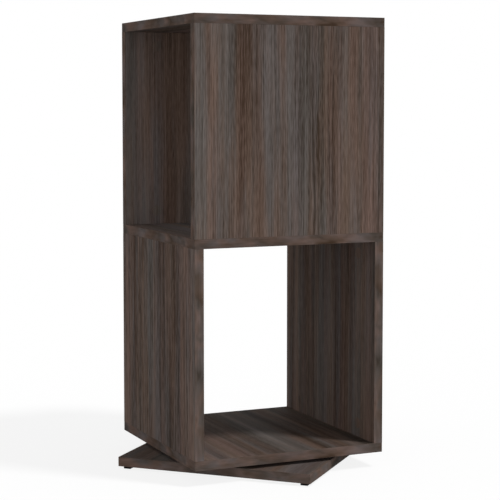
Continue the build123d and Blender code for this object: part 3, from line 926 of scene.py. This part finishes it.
@dataclass
class PanelFittings:
    """Cover discs and dowels at both ends of the four panels. Lengths are in millimetres."""

    case_width: float = 345.0
    tier_height: float = 345.0
    tier_floors: tuple[float, float] = (404.0, 43.0)
    board: float = 16.0
    fitting_inset: float = 60.0
    dowel_pitch: float = 32.0
    cam_setback: float = 24.0
    disc_radius: float = 9.5
    disc_thickness: float = 0.3
    disc_rim: float = 0.2
    disc_sides: int = 64
    disc_turn: float = 4.0
    disc_seed: int = 11
    dowel_radius: float = 4.0
    in_board: float = 11.0
    in_panel: float = 21.0
    chamfer: float = 1.0
    groove: float = 0.35
    flutes: int = 24
    sides_a_flute: int = 4
    dowel_rings: int = 3
    end_zone: float = 0.9

    def ends(self) -> list[tuple[Vector, Vector, Vector, Vector]]:
        """List the panels' ends.

        Returns:
            For each end its middle on the board's face, and the directions inwards, along and into the panel.
        """
        found = []
        inward = [(Vector((0, 1, 0)), self.tier_floors[0]), (Vector((1, 0, 0)), self.tier_floors[1])]
        for direction, floor in inward:
            for way in (direction, -direction):
                middle = way * (self.board / 2 - self.case_width / 2)
                along = Vector((way.y, -way.x, 0))
                for level, into in ((floor, 1), (floor + self.tier_height, -1)):
                    found.append((middle + Vector((0, 0, level)), way, along, Vector((0, 0, into))))
        return found

    def places(self) -> tuple[list[Place], list[Place]]:
        """Find where the discs lie, over the cams, and where the dowels stand, across the joints.

        Returns:
            The places of the discs, on the panels' inner faces, and those of the dowels.
        """
        reach = self.case_width / 2 - self.fitting_inset
        dowel_reach = reach - self.dowel_pitch
        discs, dowels = [], []
        for middle, inward, along, into in self.ends():
            face = middle + inward * self.board / 2 + into * self.cam_setback
            for side in (-1, 1):
                discs.append(Place((face + along * side * reach) * MM, inward))
                dowels.append(Place((middle + along * side * dowel_reach) * MM, into))
        return discs, dowels

    def disc_tree(self) -> Tree:
        """Build the tree of the cover discs: thin, with a bevelled rim, each laid with a slight turn.

        Returns:
            The geometry tree.
        """
        disc = Fastener("cover_disc", (*DISC_SIZES, "Turn"), ("Seed",))
        radius, thickness, rim, turn = (disc.taken[label] for label in (*DISC_SIZES, "Turn"))
        inputs = {"Vertices": self.disc_sides, "Radius Bottom": radius, "Depth": thickness}
        mesh = disc.output("GeometryNodeMeshCone", {**inputs, "Radius Top": disc.minus(radius, rim)})
        place = disc.output("GeometryNodeInputPosition")
        x, y, z = disc.separate(disc.vector("MULTIPLY", place, (1 / MM,) * 3))
        inputs = {"Geometry": mesh, "Name": "disc_place", "Value": disc.combine(y, z, x)}
        settings = {"data_type": "FLOAT_VECTOR", "domain": "POINT"}
        mesh = disc.output("GeometryNodeStoreNamedAttribute", inputs, **settings)
        inputs = {2: disc.times(turn, -1.0), 3: turn, "Seed": disc.taken["Seed"]}
        spin = disc.place("FunctionNodeRandomValue", inputs, data_type="FLOAT").outputs[1]
        return disc.copy_out(mesh, spin)

    def dowel_tree(self) -> Tree:
        """Build the tree of the dowels: fluted along their length and chamfered at both ends.

        Returns:
            The geometry tree.
        """
        dowel = Fastener("fluted_dowel", DOWEL_SIZES, ("Flutes",))
        radius, in_board, top, chamfer, groove = (dowel.taken[label] for label in DOWEL_SIZES)
        flutes = dowel.taken["Flutes"]
        bottom = dowel.times(in_board, -1.0)
        sides = dowel.times(flutes, self.sides_a_flute)
        barrel = dowel.barrel(sides, radius, bottom, top, self.dowel_rings)

        # The outer rings make the ends, and the inner rings move out to where the chamfers start
        x, y, z = dowel.position()
        middle = dowel.times(dowel.add(bottom, top), 0.5)
        half = dowel.minus(top, middle)
        off = dowel.minus(z, middle)
        end_start = dowel.times(half, self.end_zone)
        at_end = dowel.math("GREATER_THAN", dowel.math("ABSOLUTE", off), end_start)
        between = dowel.minus(1.0, at_end)
        inset = dowel.times(dowel.math("SIGN", off), dowel.minus(half, chamfer))
        height = dowel.add(middle, dowel.add(dowel.times(at_end, off), dowel.times(between, inset)))

        wave = dowel.math("COSINE", dowel.times(dowel.math("ARCTAN2", y, x), flutes))
        dip = dowel.times(dowel.times(dowel.add(wave, 1.0), 0.5), groove)
        cut = dowel.add(dowel.times(at_end, chamfer), dowel.times(between, dip))
        share = dowel.minus(1.0, dowel.math("DIVIDE", cut, radius))
        return dowel.copy_out(dowel.narrowed(barrel, share, height))

    @staticmethod
    def disc_marks(places: list[Place], prints: dict[str, OakPrint]) -> Marks:
        """Find where in its panel's print each disc lies, its hand there and the sheet's tone and painted
        light there.

        Args:
            places: Where the discs lie.
            prints: The prints of the boards and panels.

        Returns:
            For each disc, print_at in millimetres, hand, and tone_and_painted_light as lift with the panel's
            painted light, contrast and fineness.
        """
        sides = {(0, 1): "upper_front", (0, -1): "upper_back", (1, 0): "lower_left", (-1, 0): "lower_right"}
        marks: Marks = {"print_at": [], "hand": [], "tone_and_painted_light": []}
        for place in places:
            at, facing = place.at, place.facing
            finish = prints[f"{sides[round(facing.x), round(facing.y)]}_panel"]
            across, along = (Vector(axis) for axis in finish.lay.value)
            depth = along.cross(across)
            turned = Vector((at.dot(across), at.dot(depth), at.dot(along))) / MM
            # Painted light: the disc takes its panel's tone gradient at its height, on top of the sheet's
            # lift
            lift = finish.lift + finish.fade * (finish.middle - turned.z) / PAINTED_LIGHT_REACH
            marks["print_at"].append(turned + Vector(finish.start))
            marks["hand"].append(Vector((facing.cross(along).dot(across), facing.dot(depth), 1.0)))
            marks["tone_and_painted_light"].append(Vector((lift, finish.contrast, finish.fineness)))
        return marks

    def build(self, effects: Effects, boards: "Boards") -> None:
        """Build and dress the discs and the dowels.

        Args:
            effects: The shared node groups.
            boards: The boards and panels, with their prints.
        """
        disc_places, dowel_places = self.places()
        foil = CoverFoil(PrintLay.PANEL_FACING_Y, (0.0, 0.0, 0.0))
        values = {**metres(self, DISC_SIZES), "Turn": math.radians(self.disc_turn), "Seed": self.disc_seed}
        values["Finish"] = foil.material("printed_cover_foil", effects)
        marks = self.disc_marks(disc_places, boards.prints())
        discs = grow("cover_discs", disc_places, self.disc_tree(), values, marks)
        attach(discs, "case")
        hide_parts("cam_covers")
        values = {**metres(self, DOWEL_SIZES), "Flutes": self.flutes}
        values["Finish"] = BeechTurned().material("turned_beech", effects)
        dowels = grow("fluted_dowels", dowel_places, self.dowel_tree(), values)
        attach(dowels, "case")
        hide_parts("wood_dowels")


@dataclass
class SwivelScrews:
    """Cross-slotted screws of the two swivel plates. Lengths are in millimetres."""

    pitch: float = 124.0
    lower_seat: float = 22.2
    upper_seat: float = 25.8
    base_turn: float = 45.0
    head_radius: float = 3.75
    head_height: float = 1.5
    head_sides: int = 32
    head_rings: int = 6
    dome_start: float = 0.3
    dome_bend: float = 0.5
    shank_overlap: float = 0.1
    plain_turns: float = 1.2
    slot_length: float = 4.2
    slot_width: float = 1.0
    slot_depth: float = 0.9
    root_radius: float = 1.25
    crest_radius: float = 1.75
    thread_pitch: float = 1.6
    length: float = 12.2
    tip: float = 3.0
    tip_radius: float = 0.08
    shank_sides: int = 20

    def places(self, seat: float, turn: float, facing: int) -> list[Place]:
        """Find where a plate's screws stand.

        Args:
            seat: Height of the face under the heads.
            turn: Turn of the plate about the axis, in degrees.
            facing: 1 where the heads point up, -1 where they point down.

        Returns:
            The places of the four screws.
        """
        half = self.pitch / 2
        about = Matrix.Rotation(math.radians(turn), 4, "Z")
        corners = [Vector((x * half, y * half, seat)) for x in (-1, 1) for y in (-1, 1)]
        return [Place(about @ corner * MM, Vector((0, 0, facing))) for corner in corners]

    def tree(self) -> Tree:
        """Build the tree of the screws: rounded head, crossed slots, thread and tip in one solid.

        Returns:
            The geometry tree.
        """
        screw = Fastener("plate_screw", (*HEAD_SIZES, *SHANK_SIZES))
        radius, height, long, wide, depth = (screw.taken[label] for label in HEAD_SIZES)
        root, crest, pitch, length, tip_length = (screw.taken[label] for label in SHANK_SIZES)
        head = screw.barrel(self.head_sides, radius, 0.0, height, self.head_rings)
        z = screw.position()[2]
        rise = screw.minus(screw.math("DIVIDE", z, height), self.dome_start)
        rise = screw.math("MAXIMUM", screw.math("DIVIDE", rise, 1 - self.dome_start), 0.0)
        share = screw.minus(1.0, screw.times(screw.math("POWER", rise, 2.0), self.dome_bend))
        head = screw.narrowed(head, screw.math("SQRT", share), z)

        slots = []
        deep = screw.times(depth, 2.0)
        for size in ((long, wide, deep), (wide, long, deep)):
            cube = screw.output("GeometryNodeMeshCube", {"Size": screw.combine(*size)})
            slots.append(screw.raised(cube, height))
        head = screw.fuse("DIFFERENCE", slots, head)

        shank_end = screw.minus(tip_length, length)
        shank = screw.barrel(self.shank_sides, root, shank_end, screw.times(height, self.shank_overlap))
        inputs = {"Vertices": self.shank_sides, "Radius Bottom": self.tip_radius * MM, "Radius Top": root}
        tip = screw.output("GeometryNodeMeshCone", {**inputs, "Depth": tip_length})
        tip = screw.raised(tip, screw.times(length, -1.0))
        thread = screw.thread(root, crest, pitch, shank_end, screw.times(pitch, -self.plain_turns))
        return screw.copy_out(screw.fuse("UNION", [head, shank, tip, thread]))

    def build(self, finish: Material) -> None:
        """Build the screws of both plates.

        Args:
            finish: The plated finish.
        """
        tree = self.tree()
        values = {**metres(self, (*HEAD_SIZES, *SHANK_SIZES)), "Finish": finish}
        lower = self.places(self.lower_seat, self.base_turn, 1)
        upper = self.places(self.upper_seat, 0.0, -1)
        plates = (("lower_plate_screws", lower, "base"), ("upper_plate_screws", upper, "case"))
        for name, places, body in plates:
            screws = grow(name, places, tree, values)
            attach(screws, body)
            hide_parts("swivel_lower_screws" if body == "base" else "swivel_upper_screws")


@dataclass
class Boards:
    """Boards, panels and edging of the case and the base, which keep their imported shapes.

    Attributes:
        upper_middle: Height of the middle of the upper tier, in millimetres.
        lower_middle: Height of the middle of the lower tier, in millimetres.
    """

    upper_middle: float = 576.5
    lower_middle: float = 215.5

    def prints(self) -> dict[str, OakPrint]:
        """Choose the print of each board and panel.

        Returns:
            The finishes, by the name of the solid.
        """
        facing_y, facing_x, flat = PrintLay.PANEL_FACING_Y, PrintLay.PANEL_FACING_X, PrintLay.CASE_BOARD
        return {
            # Painted light: each panel's tone gradient makes it lighter towards the bottom of its tier
            "upper_front_panel": OakPrint(
                facing_y, (-3159.5, 260.5, 10423.5), 6185.0, 3391.8, 9.0, 0.06, 41.0,
                contrast=0.84, fade=0.055, middle=self.upper_middle,
            ),
            "upper_back_panel": OakPrint(
                facing_y, (771.9, -99.3, 6423.5), 5630.6, -5008.8,
                lift=0.04, contrast=0.88, fineness=0.7, fade=0.11, middle=self.upper_middle,
            ),
            "lower_left_panel": OakPrint(
                facing_x, (3205.3, -99.9, 8784.5), -1796.2, 1942.8,
                contrast=1.4, fade=0.07, middle=self.lower_middle,
            ),
            "lower_right_panel": OakPrint(
                facing_x, (-3053.9, 244.5, 10784.5), 930.8, -2663.4,
                lift=0.08, contrast=1.2, fineness=0.7, fade=0.09, middle=self.lower_middle,
            ),
            "top_board": OakPrint(flat, (2210.0, 1.3, 75.0), lift=-0.08, contrast=1.1),
            # Painted light: the middle board's gradient makes it lighter towards the front, and its lift is
            # partly painted light
            "middle_board": OakPrint(flat, (-2470.0, 6.2, -510.0), lift=0.34, fineness=0.6, fade=0.12),
            # Painted shade: the bottom board's gradient makes it darker towards the front, and its lift is
            # partly painted shade
            "bottom_board": OakPrint(
                flat, (-5526.1, 123.3, 10000.0), 1280.0,
                lift=-0.16, contrast=1.5, fineness=0.26, fade=-0.07,
            ),
            # The base's lift is partly painted light
            "base_board": OakPrint(PrintLay.BASE_BOARD, (-3390.0, 3.8, -770.0), lift=0.08, fineness=0.45),
        }

    def edgings(self) -> dict[str, EdgingPrint]:
        """Choose the edging of each board and panel, with its strips' middle at 0 across the print.

        Returns:
            The finishes, by the name of the solid.
        """
        finishes = {}
        round_board, case_board, lower_panel = EdgingLay.ROUND_BOARD, (316.0, 1453.5), (-856.0, 235.5)
        facing_y, facing_x = EdgingLay.UP_PANEL_FACING_Y, EdgingLay.UP_PANEL_FACING_X
        rows = {
            "upper_front_panel": (facing_y, (-1786.0, 1259.5), -0.03),
            "upper_back_panel": (facing_y, (173.0, 61.0), 0.0),
            "lower_left_panel": (facing_x, lower_panel, 0.14),
            "lower_right_panel": (facing_x, lower_panel, 0.08),
            "top_board": (round_board, case_board, -0.09),
            "middle_board": (round_board, case_board, -0.07),
            "bottom_board": (round_board, case_board, 0.02),
            "base_board": (round_board, (1790.7, -169.1), 0.13),
        }
        for node, (lay, (along, depth), lift) in rows.items():
            low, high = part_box(f"{node}_edging")
            centre = (low + high).dot(Vector(lay.value[1])) / 2 / MM
            finishes[f"{node}_edging"] = EdgingPrint(lay, (along, depth, -centre), lift)
        return finishes

    def dress(self, effects: Effects) -> None:
        """Dress every board, panel and edging."""
        for node, finish in {**self.prints(), **self.edgings()}.items():
            dress_node(node, finish.material(f"{node}_finish", effects))


@dataclass
class Hardware:
    """Finishes of the fittings, the swivel and the feet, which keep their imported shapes."""

    zinc_plate: Speckled = Speckled((186, 190, 196), (206, 208, 211), 1.0, (0.26, 0.42), 0.25, 9.0, 0.03)
    zinc_cast: Speckled = Speckled((150, 152, 156), (178, 180, 183), 1.0, (0.4, 0.6), 0.4, 5.0, 0.08)
    ball_steel: Speckled = Speckled((212, 214, 217), (226, 227, 229), 1.0, (0.05, 0.12), 0.2, 3.0, 0.01)
    cage_nylon: Speckled = Speckled((214, 211, 200), (228, 226, 217), 0.0, (0.42, 0.56), 0.3, 8.0, 0.04)
    black_plastic: Speckled = Speckled((5, 5, 5), (9, 9, 9), 0.0, (0.5, 0.7), 0.35, 12.0, 0.08, 0.06)

    def dress(self, effects: Effects) -> dict[str, Material]:
        """Dress every fitting, by the material slot that the record gives it.

        Args:
            effects: The shared node groups.

        Returns:
            The materials, by slot.
        """
        slots = ("zinc_plate", "zinc_cast", "ball_steel", "cage_nylon", "black_plastic")
        materials = {slot: finish.material(slot, effects) for slot, finish in named(self, slots).items()}
        for subpart in frame["record"]["subparts"]:
            if subpart["material_slot"] in materials:
                dress_node(subpart["node"], materials[subpart["material_slot"]])
        return materials


@dataclass(frozen=True)
class Lamp:
    """A soft lamp far off. Its angles are in degrees, its distance in metres.

    Attributes:
        name: The lamp's name.
        level: Its light on a face square to it, where 1 shows a colour as it is written.
        azimuth: Where it hangs, from the front towards the right.
        height: How high it hangs.
        shadow: Whether it throws shadows.
        spread: How wide it looks.
        distance: How far off it hangs.
    """

    name: str
    level: float
    azimuth: float
    height: float
    shadow: bool = True
    spread: float = 8.0
    distance: float = 3.0

    def hang(self) -> None:
        """Hang the lamp so that it faces the object."""
        lamp = bpy.data.lights.new(self.name, "SUN")
        lamp.energy = self.level * math.pi
        lamp.angle = math.radians(self.spread)
        lamp.use_shadow = self.shadow
        turn, rise = math.radians(self.azimuth), math.radians(self.height)
        towards = Vector((math.sin(turn) * math.cos(rise), -math.cos(turn) * math.cos(rise), math.sin(rise)))
        holder = bpy.data.objects.new(self.name, lamp)
        holder.rotation_euler = (-towards).to_track_quat("-Z", "Y").to_euler()
        holder.location = towards * self.distance
        bpy.context.scene.collection.objects.link(holder)


@dataclass
class Studio:
    """Pale floor, soft light and the camera. Lengths are in metres, angles in degrees."""

    floor_side: float = 30.0
    floor_grey: float = 0.5
    floor_glow: float = 0.85
    horizon: float = 0.92
    zenith: float = 0.22
    lamps: tuple[Lamp, ...] = (Lamp("key", 0.742, 43.0, 57.2), Lamp("fill", 0.205, -33.0, 14.0, False))
    camera_at: Triple = (-1.0677, -2.3861, 0.6187)
    camera_pitch: float = 85.994
    camera_turn: float = -24.148
    lens: float = 107.77
    sensor: float = 36.0
    drop: float = -0.08
    view_depth: float = 100.0

    @staticmethod
    def seen_directly(bench: Bench) -> Socket:
        """Tell rays that show the surround itself from those that light the object.

        Args:
            bench: The material's or the world's bench.

        Returns:
            A socket that is 1 for camera, mirror and glass rays and 0 for the rest.
        """
        path = bench.place("ShaderNodeLightPath").outputs
        shown = bench.math("MAXIMUM", path["Is Camera Ray"], path["Is Glossy Ray"])
        return bench.math("MAXIMUM", shown, path["Is Transmission Ray"])

    def lay_floor(self) -> None:
        """Lay a floor that shows white, keeps the object's shadow, and lights the object evenly."""
        half = self.floor_side / 2
        corners = [(-half, -half, 0), (half, -half, 0), (half, half, 0), (-half, half, 0)]
        mesh = bpy.data.meshes.new("floor")
        mesh.from_pydata(corners, [], [(0, 1, 2, 3)])
        floor = bpy.data.objects.new("floor", mesh)
        bpy.context.scene.collection.objects.link(floor)
        material = bpy.data.materials.new("pale_floor")
        material.use_nodes = True
        bench = Bench(material.node_tree)
        plain = bench.output("ShaderNodeBsdfDiffuse", {"Color": (self.floor_grey,) * 3 + (1.0,)})

        # How brightly a flat face is lit, so that the floor can be painted to show white; the sky that it
        # sees averages two thirds of the way from the horizon's level to the zenith's
        lit = self.horizon - (self.horizon - self.zenith) * 2 / 3
        for lamp in self.lamps:
            lit += lamp.level * math.sin(math.radians(lamp.height))
        white = bench.output("ShaderNodeBsdfDiffuse", {"Color": (1 / lit,) * 3 + (1.0,)})
        glow = bench.output("ShaderNodeEmission", {"Color": WHITE, "Strength": 1.0})
        shown = bench.output("ShaderNodeMixShader", {0: self.floor_glow, 1: white, 2: glow})
        both = bench.output("ShaderNodeMixShader", {0: self.seen_directly(bench), 1: plain, 2: shown})
        bench.place("ShaderNodeOutputMaterial", {"Surface": both})
        mesh.materials.append(material)

    def light(self) -> None:
        """Light the object from all round, and by a soft lamp front right and a weak shadowless one."""
        world = bpy.data.worlds.new("white_surround")
        world.use_nodes = True
        bench = Bench(world.node_tree)
        up = bench.separate(bench.place("ShaderNodeTexCoord").outputs["Generated"])[2]
        level = bench.minus(self.horizon, bench.times(up, self.horizon - self.zenith))
        strength = bench.math("MAXIMUM", self.seen_directly(bench), level)
        back = bench.output("ShaderNodeBackground", {"Color": WHITE, "Strength": strength})
        bench.place("ShaderNodeOutputWorld", {"Surface": back})
        bpy.context.scene.world = world
        for lamp in self.lamps:
            lamp.hang()

    def set_camera(self) -> None:
        """Set the camera at the photograph's viewing angle."""
        data = bpy.data.cameras.new("camera")
        data.lens, data.sensor_width, data.shift_y = self.lens, self.sensor, self.drop
        data.clip_end = self.view_depth
        camera = bpy.data.objects.new("camera", data)
        camera.location = self.camera_at
        camera.rotation_euler = (math.radians(self.camera_pitch), 0.0, math.radians(self.camera_turn))
        bpy.context.scene.collection.objects.link(camera)
        bpy.context.scene.camera = camera

    def build(self) -> None:
        """Set up the floor, the light, the camera and the plain view."""
        self.lay_floor()
        self.light()
        self.set_camera()
        bpy.context.scene.view_settings.view_transform = "Standard"


def clear_strays() -> None:
    """Remove whatever the empty scene held besides the frame."""
    kept = [*frame["nodes"].values(), *frame["bodies"].values()]
    for thing in list(bpy.data.objects):
        if thing not in kept:
            bpy.data.objects.remove(thing)


def main() -> None:
    """Build the classes in order."""
    logging.basicConfig(level=logging.INFO, format="%(name)s: %(message)s")
    clear_strays()
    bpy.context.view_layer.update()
    effects = Effects()
    Studio().build()
    boards = Boards()
    boards.dress(effects)
    materials = Hardware().dress(effects)
    PanelFittings().build(effects, boards)
    SwivelScrews().build(materials["zinc_plate"])


if __name__ == "__main__":
    main()
